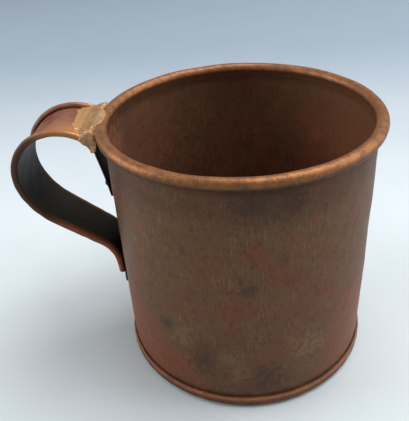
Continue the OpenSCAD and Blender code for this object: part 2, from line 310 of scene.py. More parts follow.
# Outside: brown and olive clouds, red patches, fine upright rub marks
cloud = f.noise(p, 0.085, 4, 0.6)
patch = f.noise(p, 0.16, 5, 0.65, 0.6)
mottle = f.noise(p, 0.45, 4, 0.7)
grain = f.noise(p, 1.6, 3, 0.7)
speck = f.noise(p, 0.9, 4, 0.75)
streak = f.noise(p, 1.0, 4, 0.65, stretch=(1.7, 1.7, 0.17))
fine_streak = f.noise(p, 1.0, 3, 0.6, stretch=(3.6, 3.6, 0.4))
streak_zone = f.noise(p, 0.11, 2, 0.5)
outer = f.mix(f.step(cloud, 0.38, 0.62), tone(98, 64, 45), tone(94, 69, 47))
outer = f.mix(f.step(patch, 0.50, 0.70) * 0.55, outer, tone(112, 62, 48))
outer = f.mix(f.step(mottle, 0.52, 0.70) * 0.6, outer, tone(66, 46, 34))
outer = f.mix(f.step(mottle, 0.46, 0.30) * 0.4, outer, tone(118, 84, 62))
outer = f.mix(f.step(speck, 0.56, 0.75) * 0.5, outer, tone(60, 44, 35))
rubbed = f.step(streak, 0.52, 0.68) * f.step(streak_zone, 0.38, 0.60)
outer = f.mix(rubbed * 0.42 + f.step(fine_streak, 0.56, 0.76) * 0.22, outer, tone(130, 102, 76))
outer = f.mix(f.step(streak, 0.46, 0.32) * 0.25, outer, tone(66, 48, 36))
outer = f.mix(f.step(grain, 0.56, 0.74) * 0.35, outer, tone(60, 42, 34))

# Orange copper shows through low on both sides
left_glow = f.step(f.distance(p, on_wall(-54, 14)) + (cloud - 0.5) * 60, 36, 4)
right_glow = f.step(f.distance(p, on_wall(66, 14)), 34, 8)
glow = f.math("MAXIMUM", left_glow, right_glow)
glow = glow * (f.step(patch, 0.34, 0.60) * 0.6 + 0.4) * f.step(speck, 0.74, 0.5)
outer = f.mix(glow * 0.75, outer, tone(128, 66, 37))

# Single marks, each as angle, height and radius: red spots, tarnish (the two just under the rim
# are also painted shade below the roll), and paler rubbed places
red_spots = ((-5.4, 46.5, 4.5), (35.5, 49, 5), (3.5, 72.4, 3), (-34, 17, 7), (52, 38, 6), (-48, 60, 5),
    (14, 60, 5))
dark_spots_and_rim_shade = ((15.4, 68, 1.6), (-17.4, 23, 8), (9.5, 14, 8), (-34, 34, 4), (5, 91, 9), (17, 90, 8),
    (2, 57, 3))
pale_spots = ((-7.7, 24, 5), (-2, 18, 4), (28, 26, 6), (-28, 31, 5))


def spots(places, wobble):
    """A mask of round marks whose edges the wobble noise breaks up."""
    total = None
    for angle, z, r in places:
        one = f.step(f.distance(p, on_wall(angle, z)) + (wobble - 0.5) * (5.0 * r), r * 1.3, r * 0.2)
        total = one if total is None else f.math("MAXIMUM", total, one)
    return total


outer = f.mix(spots(red_spots, patch) * 0.35, outer, tone(116, 46, 34))
# Under the rim the outside is darker all round: painted shade below the roll, and tarnish
under_rim_shade_and_tarnish = f.step(height, 79, 88) * (f.step(patch, 0.30, 0.60) * 0.5 + 0.5)
outer = f.mix(under_rim_shade_and_tarnish * 0.4, outer, tone(58, 42, 32))
outer = f.mix(spots(dark_spots_and_rim_shade, mottle) * 0.6, outer, tone(52, 40, 34))
outer = f.mix(spots(pale_spots, mottle) * 0.35, outer, tone(126, 100, 72))
pinholes = f.step(f.noise(p, 1.3, 1, 0.5), 0.78, 0.84)
outer = f.mix(pinholes * 0.6, outer, tone(180, 150, 124))

# Inside: dark red brown, a warmer side that is partly painted light, blotches, painted shade
# towards the top, and scratches under the rim by the handle
inner = f.mix(f.step(cloud, 0.36, 0.64), tone(100, 70, 52), tone(114, 75, 53))
inner = f.mix(f.step(patch, 0.50, 0.72) * 0.6, inner, tone(140, 80, 56))
inner = f.mix(f.step(mottle, 0.50, 0.68) * 0.6, inner, tone(74, 54, 40))
inner = f.mix(f.step(speck, 0.55, 0.75) * 0.5, inner, tone(76, 50, 38))
# Painted light with some tarnish: a lighter, warmer pool on the right of the inside
warm_side_light_and_tarnish = f.step(f.distance(p, on_wall(100, 70)), 62, 10)
inner = f.mix(warm_side_light_and_tarnish * 0.4, inner, tone(152, 92, 62))
# Painted shade: the inside is darker towards the top
inner = f.mix(f.step(height, 66, 92) * 0.55, inner, tone(76, 54, 38))
inner = f.mix(f.step(streak, 0.50, 0.68) * 0.35, inner, tone(62, 42, 31))
scratches = f.step(streak, 0.48, 0.64) * f.step(f.distance(p, on_wall(-84, 88)), 24, 8)
inner = f.mix(scratches * 0.7, inner, tone(176, 116, 78))
colour = f.mix(drink, outer, inner)

# The roll is rubbed towards bare copper, with tarnish left on it in clouds and fine specks
worn = f.noise(p, 0.35, 4, 0.6)
wear = f.step(worn, 0.22, 0.50) * 0.7 + 0.3
bare = f.mix(f.step(worn, 0.40, 0.66), tone(118, 78, 49), tone(138, 92, 57))
bare = f.mix(f.step(grain, 0.50, 0.72) * 0.6, bare, tone(84, 54, 36))
bare = f.mix(f.step(grain, 0.42, 0.28) * 0.5, bare, tone(176, 122, 78))
# The roll's underside is darker: painted shade, with tarnish left there
bare = f.mix(f.step(height, roll_z + 0.5, roll_z - 1.0) * 0.85, bare, tone(54, 38, 28))
bright = roll * wear
colour = f.mix(bright, colour, bare)

rough = 0.52 - bright * 0.06 + (grain - 0.5) * 0.25 + (streak - 0.5) * 0.12
metal = 0.40 + bright * 0.25 - drink * 0.2
relief = grain * 0.4 + streak * 0.35 + fine_streak * 0.2 + mottle * 0.5 + patch * 0.6
wall.data.materials.append(f.surface(colour, rough, metal, relief, 0.00014, {"Specular IOR Level": 0.2}))
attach(wall, "root")
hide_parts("wall")

# ---------------------------------------------------------------------------------------
# Rim wire and the strap's two edge wires. Plain drawn iron wire, closed up inside the rolled
# edges, so only their ends show at the strap's ends. Grey, with rust in patches.
# ---------------------------------------------------------------------------------------
f = Finish("rusty_iron_wire")
p = f.place()
rust = f.noise(p, 0.5, 4, 0.65)
scale = f.noise(p, 3.0, 2, 0.6)
share = f.step(rust, 0.42, 0.60)
colour = f.mix(share, tone(74, 70, 66), tone(104, 62, 40))
wire_finish = f.surface(colour, 0.45 + share * 0.35, 0.8 - share * 0.6, scale, 0.0001)
for name in ("rim_wire", "handle_wire_near", "handle_wire_far"):
    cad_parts[name].data.materials.clear()
    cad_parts[name].data.materials.append(wire_finish)

# ---------------------------------------------------------------------------------------
# Bottom. A copper disc whose edge is turned up round the wall's foot and hammered tight, so its
# lip wanders. The lip is lighter, partly rubbed bright and partly painted highlight, and the lower
# corner is rubbed bright; painted shade darkens the swell's lower side and the crease at the lip.
# The face underneath is scuffed.
# ---------------------------------------------------------------------------------------
lip = 0.15
corner_c = (foot_r - foot_round, foot_round)
flat_r = foot_r - foot_round


def bottom_outline():
    """From the axis out along the underside, round the corner, up to the lip, and back inside."""
    under = np.linspace(0, flat_r, 30)[:-1]
    up = np.linspace(foot_round, foot_h - lip, 9)[1:]
    down = np.linspace(foot_h, foot_round, 7)
    over = np.linspace(flat_r, 0, 30)[1:]
    round_off = lip * 0.3
    edge = [[foot_face(foot_h - round_off, 0) - round_off, foot_h - round_off],
        [foot_face(foot_h, 0) - lip, foot_h]]
    return np.concatenate([np.stack([under, 0 * under], -1), arc(corner_c, foot_round, -90, 0, 14),
        np.stack([foot_face(up, 0), up], -1), edge, np.stack([foot_face(down, bottom_t), down], -1),
        arc(corner_c, foot_round - bottom_t, 0, -90, 8)[1:], np.stack([over, 0 * over + bottom_t], -1)])


def bottom_shift(a, r, z):
    """The lip wanders by two tenths of a millimetre, the swell dents by one, and the disc is
    domed up a little within the ring that it stands on."""
    outer = ease(r, foot_r - 1.6, foot_r - 0.9)
    dent = 0.08 * uneven(a * 9, z / 2, 11) + 0.05 * uneven(a * 28, z / 2, 12) - 0.06
    lift = 0.5 * ease(flat_r - r, 0, 8) + 0.08 * uneven(r / 7, a * 2, 14) * ease(flat_r - r, 0, 8)
    wander = 0.15 * uneven(a * 7, 0 * a, 13) + 0.10 * uneven(a * 24, 0 * a, 15) - 0.08
    up = ease(z, foot_h - 2.2, foot_h) * outer * np.minimum(wander, 0)
    return np.minimum(dent, 0.0) * outer * ease(z, 0.1, 0.8), up + np.maximum(lift, 0) * (r < flat_r)


full_turn = np.linspace(0, 2 * np.pi, 360, endpoint=False)
bottom = revolve("copper_bottom", bottom_outline(), full_turn, bottom_shift)

f = Finish("aged_copper_bottom")
p = f.place()
height = f.node("ShaderNodeSeparateXYZ", None, {0: p}, 2)
radius = f.distance(f.vector("MULTIPLY", p, (1, 1, 0)), (0, 0, 0))
cloud = f.noise(p, 0.14, 4, 0.6)
patch = f.noise(p, 0.4, 4, 0.65, 0.5)
grain = f.noise(p, 2.2, 3, 0.7)
scuff = f.noise(p, 1.0, 3, 0.6, stretch=(0.25, 2.4, 1))
inside = f.step(radius, flat_r + 0.2, flat_r - 0.4) * f.step(height, 0.62, 0.68)
colour = f.mix(f.step(cloud, 0.36, 0.64), tone(100, 62, 42), tone(122, 72, 44))
colour = f.mix(f.step(patch, 0.50, 0.72) * 0.6, colour, tone(92, 58, 44))
# Painted shade: the swell's lower side, facing down, is darkened
low_side_shade = f.step(height, 3.8, 1.6)
colour = f.mix(low_side_shade * 0.8, colour, tone(66, 42, 31))
# Partly wear and partly painted highlight: the lip's upward face is lighter in patches, where roughness drops
# and metal rises
lip_wear_and_highlight = f.step(height, foot_h - 1.9, foot_h - 1.2) * f.step(height, foot_h - 0.2, foot_h - 0.7)
wear = lip_wear_and_highlight * f.step(patch, 0.28, 0.54)
colour = f.mix(wear * 0.7, colour, tone(166, 112, 76))
# Painted shade: a dark line in the crease where the lip meets the wall
crease = f.step(height, foot_h - 0.7, foot_h - 0.1)
colour = f.mix(crease * 0.75, colour, tone(50, 33, 25))
colour = f.mix(f.step(scuff, 0.55, 0.72) * 0.5 * f.step(height, 0.7, 0.3), colour, tone(140, 100, 76))
colour = f.mix(inside * 0.6, colour, tone(70, 48, 36))
relief = grain * 0.35 + patch * 0.8 + scuff * 0.3
rough = 0.50 - wear * 0.10 + (grain - 0.5) * 0.25
metal = 0.4 + wear * 0.3
bottom.data.materials.append(f.surface(colour, rough, metal, relief, 0.00016, {"Specular IOR Level": 0.3}))
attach(bottom, "root")
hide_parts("bottom")

# ---------------------------------------------------------------------------------------
# Solder. Tin run into the inside corner round the bottom, and along the outer cut edge of the
# wall's lap under the handle. Dull grey, its edge uneven where it ran on and was wiped.
# ---------------------------------------------------------------------------------------
def loft(name, rings):
    """Rings of equal length, joined one to the next and closed by a face at each end."""
    n, m = rings.shape[:2]
    faces = grid_faces(n, m, False, True).tolist()
    faces += [list(range(m)), list(range((n - 1) * m, n * m))]
    return make_mesh(name, rings.reshape(-1, 3), faces)


fillet_toe = flat_r - 0.5
fillet_top = wall_foot + (foot_h - wall_foot) / 6
fillet_wall = float(foot_face(fillet_top, bottom_t)) - sheet_t


def foot_fillet():
    """The corner fillet's section: under the wall's end and up its inner face, with a hollow front."""
    t = np.linspace(0, 1, 9)[:, None]
    heel = np.array([[flat_r + 0.4, bottom_t + 0.05], [fillet_wall - 0.1, wall_foot]])
    start, end = np.array([fillet_wall, fillet_top]), np.array([fillet_toe, bottom_t])
    front = start + (end - start) * t + 0.35 * t * (1 - t) * 4 * np.array([0.5, -0.8])
    return np.concatenate([heel, front])


def fillet_shift(a, r, z):
    """The fillet's two toes creep along the metal by a wander round the mug."""
    creep = 0.25 + 0.25 * uneven(a * 6, 0 * a, 21) + 0.15 * uneven(a * 25, 0 * a, 22)
    return -creep * ease(flat_r + 0.6 - r, 0.2, 1.1), creep * ease(z, wall_foot, fillet_top)


fillet_turn = np.linspace(0, 2 * np.pi, 480, endpoint=False)
corner_fillet = revolve("corner_solder", foot_fillet(), fillet_turn, fillet_shift)

seam_z = np.linspace(neck_z + 0.2, jog_z - 0.2, 260)
seam_leg = 0.5 + 0.12 * uneven(seam_z / 3, 0 * seam_z, 23) + 0.06 * uneven(seam_z, 0 * seam_z, 24)
seam_round = np.linspace(0, 1, 5)
along_wall = seam_leg[:, None] * seam_round
off_wall = lap_rise * 0.92 * (1 - seam_round) ** 1.6 + 0 * seam_z[:, None]
back = np.stack([0 * seam_leg - 0.1, 0 * seam_leg - 0.05], -1)
seam_r = body_r + 0.02 + np.concatenate([off_wall, back[:, 1:]], 1)
seam_a = np.pi + math.radians(lap_half) + np.concatenate([along_wall - 0.05, back[:, :1]], 1) / body_r
seam_up = np.broadcast_to(seam_z[:, None], seam_r.shape)
seam_rings = np.stack([seam_r * np.cos(seam_a), seam_r * np.sin(seam_a), seam_up], -1)
seam_fillet = loft("seam_solder_line", seam_rings)

f = Finish("dull_tin_solder")
p = f.place()
cloud = f.noise(p, 0.25, 3, 0.6)
bead = f.noise(p, 0.9, 3, 0.6)
share = f.step(cloud, 0.40, 0.62)
colour = f.mix(share, tone(84, 78, 70), tone(66, 56, 47))
colour = f.mix(f.step(bead, 0.55, 0.75) * 0.5, colour, tone(104, 98, 90))
solder_finish = f.surface(colour, 0.42 + share * 0.2, 0.75 - share * 0.35, bead, 0.0002)
for piece, node in ((corner_fillet, "bottom_solder"), (seam_fillet, "seam_solder")):
    piece.data.materials.append(solder_finish)
    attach(piece, "root")
    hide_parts(node)

# ---------------------------------------------------------------------------------------
# Handle strap. A tapered strip of copper whose long edges are rolled outwards over wire, with a
# plain tab at each end. It stands off the rim in a round loop and runs straight down to the
# lower tab. Purplish brown on top; nearly black brown within the loop and dark on the tabs, both
# painted shade.
# ---------------------------------------------------------------------------------------
strap_t = 0.6
wire_r = 0.6
wire_fit = 0.03
curl_r = wire_r + wire_fit + strap_t
curl_in = curl_r - strap_t
curl_off = curl_r - strap_t / 2
curl_end = 195
lap_r = body_r + lap_rise
tab_gap = 0.05
tab_mid = lap_r + tab_gap + strap_t / 2
upper_tab_z = 67
lower_wire_z = 33.5
lower_tab_z = 25
tab_half = 6.6
shoulder_half = 11
top_half_w = 14
low_half_w = 9
shoulder_bend = 3.5
crown_r = 17.9
crown_reach = 62.9
crown_drop = 20.1
crown_c = np.array([crown_reach, mug_h - crown_drop])
back_r = 26.5
foot_bend = 12.4
join_a, split_a, run_start_a = 126, -23, -55


def toward(a):
    """The unit vector at an angle in degrees."""
    return np.array([math.cos(math.radians(a)), math.sin(math.radians(a))])


shoulder_c = crown_c + (crown_r - shoulder_bend) * toward(join_a)
back_c = crown_c + (crown_r - back_r) * toward(split_a)
run_a = run_start_a - 90
run_from = back_c + back_r * toward(run_start_a)
run_cos, run_sin = toward(run_a)
run_len = (tab_mid + foot_bend - run_from[0] + run_sin * foot_bend) / run_cos
bend_c = run_from + run_len * toward(run_a) + foot_bend * np.array([-run_sin, run_cos])
tab_to_c = shoulder_c - (tab_mid, upper_tab_z)
tab_reach = float(np.hypot(*tab_to_c))
tab_a = math.degrees(math.atan2(tab_to_c[1], tab_to_c[0]) + math.asin(shoulder_bend / tab_reach))
tab_len = math.sqrt(tab_reach ** 2 - shoulder_bend ** 2)


def bend(centre, r, a0, a1, n):
    """Stations (reach, height, heading) round a bend that turns clockwise from polar angle a0 to a1."""
    return np.concatenate([arc(centre, r, a0, a1, n), np.linspace(a0, a1, n + 1)[:, None] - 90], 1)[1:]


def straight(start, heading, lengths):
    """Stations along a straight stretch."""
    points = np.asarray(start) + np.outer(lengths, toward(heading))
    return np.concatenate([points, np.full((len(points), 1), heading)], 1)


foot_a = np.linspace(run_a, -90, 19)[1:]
foot_arc = np.stack([bend_c[0] + foot_bend * np.sin(np.radians(foot_a)),
    bend_c[1] - foot_bend * np.cos(np.radians(foot_a)), foot_a], -1)
wired = np.concatenate([
    bend(shoulder_c, shoulder_bend, tab_a + 89, tab_a + 90, 1),
    bend(shoulder_c, shoulder_bend, tab_a + 90, join_a, 9),
    bend(crown_c, crown_r, join_a, split_a, 74),
    bend(back_c, back_r, split_a, run_start_a, 22),
    straight(run_from, run_a, np.linspace(0, run_len, 27)[1:]), foot_arc,
    straight((tab_mid, bend_c[1]), -90, np.linspace(0, bend_c[1] - lower_wire_z, 3)[1:])])
way = outline_length(wired[:, :2])
share = way / way[-1]
wired_w = top_half_w + (low_half_w - top_half_w) * share
flat_w = shoulder_half + (tab_half - shoulder_half) * share
hug_from = bend_c[1] + 3
wired_hug = np.where((wired[:, 0] < bend_c[0]) & (share > 0.5),
    np.clip((hug_from - wired[:, 1]) / (hug_from - lower_wire_z), 0, 1), 0)


def on_strap(stations, s, n, hug):
    """Points at s across the strap and n above the middle of its sheet, drawn in to the wall's
    curve by hug, as rows (X, Y, Z)."""
    a = np.radians(stations[:, 2])[:, None]
    reach = stations[:, :1] - np.sin(a) * n - hug[:, None] * (lap_r - np.sqrt(lap_r ** 2 - s ** 2))
    return np.stack([-reach, -s, stations[:, 1:2] + np.cos(a) * n], -1)


cols = np.linspace(-1, 1, 15)
curl_n = 15
curl_a = np.radians(np.linspace(-90, curl_end, curl_n + 1))


def sheet_ring(half, n_at):
    """Across the inner face, then back across the outer one. n_at(s) lifts the sheet's middle."""
    s = half[:, None] * cols
    lift = n_at(s)
    n = np.concatenate([lift - strap_t / 2, lift[:, ::-1] + strap_t / 2], 1)
    return np.concatenate([s, s[:, ::-1]], 1), n


def wired_ring():
    """The sheet's ring with a roll at each side: round the outside to the cut edge, then back
    inside it. The roll's outside is a little flattened and swollen along its length."""
    s, n = sheet_ring(flat_w, lambda s: 0.07 * uneven(way[:, None] / 7, s / 5, 31))
    c = len(cols)
    turn = np.linspace(0, 1, curl_n + 1)
    beat = 0.06 * uneven(way[:, None] / 4, 2 * turn, 32, low=0.7) * np.sin(np.pi * turn) ** 0.5
    out_r = curl_r + np.minimum(beat, 0.03)
    roll_s = np.concatenate([out_r * np.cos(curl_a), 0 * beat[:, ::-1] + curl_in * np.cos(curl_a[::-1])], 1)
    roll_n = curl_off + np.concatenate([out_r * np.sin(curl_a), 0 * beat + curl_in * np.sin(curl_a[::-1])], 1)
    near_s, far_s = wired_w[:, None] - curl_r + roll_s, -(wired_w[:, None] - curl_r + roll_s)[:, ::-1]
    return (np.concatenate([s[:, :c], near_s, s[:, c:], far_s], 1),
        np.concatenate([n[:, :c], roll_n, n[:, c:], roll_n[:, ::-1]], 1))


def tab_stations(start, heading, lengths, half_end):
    """A plain tab's stations and half widths, rounded off over the first 3.2 mm."""
    at = [*end_steps, max(lengths[-1], end_steps[-1] + 0.1)]
    half = np.interp(lengths, at, [2.6, 4.0, 5.0, 6.1, tab_half, half_end])
    return straight(start, heading, lengths), half


end_steps = np.array([0, 0.2, 0.6, 1.5, 3.2])
up_d = np.concatenate([end_steps, np.linspace(end_steps[-1], tab_len, 20)[1:-1]])
up_st, up_w = tab_stations((tab_mid, upper_tab_z), tab_a, up_d, shoulder_half)
up_hug = 1 - ease(up_d, 2, tab_len)
low_st, low_w = tab_stations((tab_mid, lower_tab_z), 90, end_steps, tab_half)
low_st, low_w = low_st[::-1], low_w[::-1]
low_st[:, 2] = -90
c, k2 = len(cols), 2 * (curl_n + 1)
up_s, up_n = sheet_ring(up_w, lambda s: 0 * s)
low_s, low_n = sheet_ring(low_w, lambda s: 0 * s)
wired_s, wired_n = wired_ring()
points = np.concatenate([on_strap(up_st, up_s, up_n, up_hug).reshape(-1, 3),
    on_strap(wired, wired_s, wired_n, wired_hug).reshape(-1, 3),
    on_strap(low_st, low_s, low_n, np.ones(len(low_st))).reshape(-1, 3)])
ring_m = wired_s.shape[1]
up_ids = np.arange(up_s.size).reshape(up_s.shape)
wired_ids = up_s.size + np.arange(wired_s.size).reshape(wired_s.shape)
low_ids = up_s.size + wired_s.size + np.arange(low_s.size).reshape(low_s.shape)
sheet_cols = np.concatenate([np.arange(c), c + k2 + np.arange(c)])


def bands(rows):
    """Quads between rows of point numbers, each row a closed ring."""
    rows = np.asarray(rows)
    nxt = np.roll(rows, -1, 1)
    return np.stack([rows[:-1], nxt[:-1], nxt[1:], rows[1:]], -1).reshape(-1, 4).tolist()


def roll_ends(row):
    """Quads that close the two rolls at one end of the wired stretch."""
    near = np.arange(c - 1, c + k2 + 1)
    far = np.concatenate([np.arange(2 * c + k2 - 1, ring_m), [0]])
    half = len(near) // 2
    quads = []
    for g in (near, far):
        out, back = row[g[:half]], row[g[::-1][:half]]
        quads += np.stack([out[:-1], out[1:], back[1:], back[:-1]], -1).tolist()
    return quads


faces = bands(np.concatenate([up_ids, wired_ids[:1, sheet_cols]])) + bands(wired_ids)
faces += bands(np.concatenate([wired_ids[-1:, sheet_cols], low_ids]))
faces += roll_ends(wired_ids[0]) + roll_ends(wired_ids[-1])
faces += [up_ids[0].tolist(), low_ids[-1].tolist()]
distance = np.concatenate([np.repeat(up_d - tab_len, up_s.shape[1]), np.repeat(way, ring_m),
    np.repeat(way[-1] + lower_wire_z - low_st[:, 1], low_s.shape[1])])
across = np.concatenate([up_s.ravel(), wired_s.ravel(), low_s.ravel()])
above = np.concatenate([up_n.ravel(), wired_n.ravel(), low_n.ravel()])
edge = np.concatenate([0 * up_s.ravel(), ease(np.abs(wired_s), wired_w[:, None] - 2 * curl_r - 0.2,
    wired_w[:, None] - curl_r + 0.2).ravel(), 0 * low_s.ravel()])
strap = make_mesh("handle_strap_copper", points, faces,
    {"along": distance, "across": across, "above": above, "edge": edge})

f = Finish("aged_copper_strap")
p = f.place()
along = f.mark("along")
across = f.mark("across")
above = f.mark("above")
edge = f.mark("edge")
cloud = f.noise(p, 0.10, 4, 0.6)
patch = f.noise(p, 0.28, 4, 0.65, 0.5)
grain = f.noise(p, 1.8, 3, 0.7)
speck = f.noise(p, 1.0, 4, 0.75)
run = f.node("ShaderNodeCombineXYZ", None, {0: along * 0.10, 1: across * 1.6, 2: above * 1.6})
brush = f.noise(run, 1.0, 3, 0.6)
top = f.mix(f.step(cloud, 0.36, 0.64), tone(108, 70, 56), tone(124, 84, 66))
top = f.mix(f.step(patch, 0.50, 0.70) * 0.5, top, tone(110, 64, 52))
top = f.mix(f.step(brush, 0.56, 0.74) * 0.25, top, tone(142, 98, 78))
top = f.mix(f.step(speck, 0.58, 0.76) * 0.5, top, tone(76, 48, 42))
# Painted shade: the inner face, within the loop and behind the tabs, is a shaded copy, nearly black brown
within = f.mix(f.step(cloud, 0.36, 0.64), tone(36, 29, 21), tone(38, 33, 23))
within = f.mix(f.step(patch, 0.52, 0.70) * 0.6, within, tone(56, 34, 24))
within = f.mix(f.step(speck, 0.56, 0.76) * 0.5, within, tone(34, 31, 26))
colour = f.mix(f.step(above, -0.2, 0.2), within, top)
on_top = f.step(above, 0.25, 0.32) * f.step(above, 1.3, 0.5)
# Painted shade and rust-red dirt: a dark line in the crease where the far roll meets the top face
crease = on_top * f.step(edge, 0.45, 0.02) * f.step(along, 14, 22)
rust = f.mix(f.step(patch, 0.36, 0.6), tone(84, 30, 20), tone(112, 52, 34))
colour = f.mix(crease * 0.85, colour, rust)
bead_skin = f.mix(f.step(patch, 0.36, 0.62), tone(138, 74, 48), tone(112, 76, 52))
bead_skin = f.mix(f.step(brush, 0.52, 0.68) * 0.7, bead_skin, tone(166, 108, 74))
x = f.node("ShaderNodeSeparateXYZ", None, {0: p}, 0)
z = f.node("ShaderNodeSeparateXYZ", None, {0: p}, 2)
bead_skin = f.mix(f.step(x, -64, -75) * 0.9, bead_skin, tone(52, 42, 30))
colour = f.mix(edge * 0.85, colour, bead_skin)
# Partly wear and partly painted highlight: bright specks on the rolls' crests over the top of the loop
worn_top_and_highlight = edge * f.step(above, 1.5, 2.1) * f.step(speck, 0.34, 0.55) * f.step(x, -76, -64)
colour = f.mix(worn_top_and_highlight * 0.5, colour, tone(178, 124, 88))
wash = f.step(along, 27, 9) * f.step(above, 0.0, 0.3) * f.step(across + (patch - 0.5) * 9, -2, 8)
colour = f.mix(wash * 0.6, colour, tone(168, 118, 72))
# Painted shade: the tabs, under the loop and by the wall, are darkened
tab_shade = f.math("MAXIMUM", f.step(along, 2.0, -1.0), f.step(z, lower_wire_z + 1, lower_wire_z - 0.5))
colour = f.mix(tab_shade * 0.9, colour, tone(46, 39, 32))
rough = 0.46 - worn_top_and_highlight * 0.1 + (grain - 0.5) * 0.25 + (patch - 0.5) * 0.12
relief = grain * 0.35 + patch * 0.7 + brush * 0.4
metal = f.step(above, -0.2, 0.2) * 0.3 + worn_top_and_highlight * 0.4
strap.data.materials.append(f.surface(colour, rough, metal, relief, 0.00014, {"Specular IOR Level": 0.12}))
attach(strap, "root")
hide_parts("handle_strap")

# ---------------------------------------------------------------------------------------
# Rivets. Soft copper, put through tab and wall from inside, each head beaten into a rough dome
# and the inner end flattened. Dark brown, rubbed a little on the crown of the head.
# ---------------------------------------------------------------------------------------
head_r = 2.8
head_h = 2.3
shank_r = 1.4


def rivet_outline(tail):
    """From the axis at the flattened inner end, up the shank, and over the domed head to the axis.
    The tab's middle is at height 0, and tail is how far below it the wall's inner face lies."""
    dome_r = (head_r ** 2 + head_h ** 2) / (2 * head_h)
    top = strap_t / 2 + head_h
    edge_a = math.degrees(math.asin((dome_r - head_h) / dome_r))
    inner_end = [[0, -tail - 0.7], [1.0, -tail - 0.68], [shank_r + 0.55, -tail - 0.5],
        [shank_r + 0.8, -tail - 0.15], [shank_r + 0.75, -tail], [shank_r, -tail]]
    under_head = [[shank_r, strap_t / 2], [head_r - 0.15, strap_t / 2]]
    return np.concatenate([inner_end, under_head, arc((0, top - dome_r), dome_r, edge_a, 90, 14)])


def hammered(seed):
    """Shallow flats beaten over the head and the inner end, deepest away from the shank."""
    def shift(a, r, z):
        depth = 0.11 * uneven(2 * np.cos(a) * r, 2 * np.sin(a) * r, seed, low=0.5, high=1.4)
        depth = depth * ease(np.abs(z), 0.4, 1.5)
        return 0.5 * depth * ease(r, 0.2, 1.5), np.minimum(depth, 0.05)
    return shift


lean = 90 - tab_a
rivet_seats = {"upper_rivet": (71.6, lean, 41), "lower_rivet": (30.4, 0, 42)}
f = Finish("hammered_copper_rivet")
p = f.place()
cloud = f.noise(p, 0.6, 4, 0.65)
speck = f.noise(p, 2.4, 3, 0.7)
colour = f.mix(f.step(cloud, 0.38, 0.62), tone(64, 48, 38), tone(96, 64, 46))
colour = f.mix(f.step(speck, 0.55, 0.72) * 0.5, colour, tone(136, 92, 64))
rough = 0.42 + (speck - 0.5) * 0.3
metal = 0.6 + (cloud - 0.5) * 0.3
rivet_finish = f.surface(colour, rough, metal, speck * 0.5 + cloud, 0.0002)
for name, (seat_z, tilt, seed) in rivet_seats.items():
    reach = tab_mid + (seat_z - upper_tab_z) * math.tan(math.radians(tilt))
    ct, st = toward(tilt)
    turn = ((st, 0, ct), (0, -1, 0), (-ct, 0, -st))
    rivet = revolve(name + "_copper", rivet_outline(reach - (body_r - sheet_t)),
        np.linspace(0, 2 * np.pi, 40, endpoint=False), hammered(seed), None, turn, (-reach, 0, seat_z))
    rivet.data.materials.append(rivet_finish)
    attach(rivet, "root")
    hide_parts(name)

# ---------------------------------------------------------------------------------------
# Rim braze. Brass run between the strap and the rolled rim, thick in the corner and flowed out
# along the strap in a ragged tongue, with a cold ridge across it. Golden, rough where it froze.
# ---------------------------------------------------------------------------------------
braze_far_a = 74
braze_rows = 96
far_from = 67.8
crown_until = 60.5
film = 0.26
u = np.linspace(0, 1, braze_rows)[:, None]
crown_face = crown_r + strap_t / 2
bead_side = np.linspace(-35, 150, 22)
flat_cols = np.linspace(-1, 1, 71)
row_w = top_half_w - 0.9 * (1 - u)
row_flat = row_w - 2 * curl_r - 0.1


def beside(side):
    """The roll's section, from its outer side over the top to the crease, or back on the far side."""
    a = np.radians(bead_side)
    s = row_w - curl_r + curl_r * np.cos(a)
    n = curl_off + curl_r * np.sin(a) + 0 * s
    nrm = np.stack([np.cos(a) + 0 * s, np.sin(a) + 0 * s], -1)
    return (s, n, nrm) if side > 0 else (-s[:, ::-1], n[:, ::-1], nrm[:, ::-1] * (-1, 1))


s_r, n_r, m_r = beside(1)
s_l, n_l, m_l = beside(-1)
s_f = row_flat * flat_cols[::-1]
n_f = strap_t / 2 + 0 * s_f
m_f = np.stack([0 * s_f, 1 + 0 * s_f], -1)
s_all = np.concatenate([s_r, s_f, s_l], 1)
n_all = np.concatenate([n_r, n_f, n_l], 1)
m_all = np.concatenate([m_r, m_f, m_l], 1)
crown_run = crown_r * math.radians(join_a - braze_far_a)
shoulder_run = shoulder_bend * math.radians(tab_a + 90 - join_a)
run = u[:, 0] * (crown_run + shoulder_run)
on_crown = run < crown_run
polar = np.where(on_crown, braze_far_a + np.degrees(run / crown_r),
    join_a + np.degrees((run - crown_run) / shoulder_bend))
bend_at = np.where(on_crown[:, None], crown_c, shoulder_c)
bend_r = np.where(on_crown, crown_r, shoulder_bend)
braze_st = np.stack([bend_at[:, 0] + bend_r * np.cos(np.radians(polar)),
    bend_at[:, 1] + bend_r * np.sin(np.radians(polar)), polar - 90], -1)

over_roll = -1.15 + 2.8 * ease(-s_all, 1, 7) + 3.0 * ease(s_all, 7.5, 9.5)
far_reach = far_from - (far_from - roll_reach - over_roll) * u ** 0.9
bead_zone = ease(np.abs(s_all), row_flat - 0.8, row_flat + 2.0)
from_rim = far_reach * (1 - bead_zone) + braze_st[:, :1] * bead_zone - rim_r
ragged = 0.4 * uneven(s_all / 2.8, 0 * s_all, 51) + 0.12 * uneven(s_all / 1.2, 0 * s_all, 52)
tongue = 8.6 - 0.07 * s_all - 1.2 * ease(s_all, 3, 6) - 1.5 * ease(s_all, 6, 9)
reach_end = tongue * (1 - bead_zone) + np.where(s_all > 0, 4.0, 6.5) * bead_zone
there = ease(reach_end + ragged - from_rim, -0.5, 0.5)
ridge_at = 3.4 + 0.2 * uneven(s_all / 3, 0 * s_all, 55)
ridge = 0.34 * np.exp(-((from_rim - ridge_at) / 0.6) ** 2) * (1 - bead_zone)
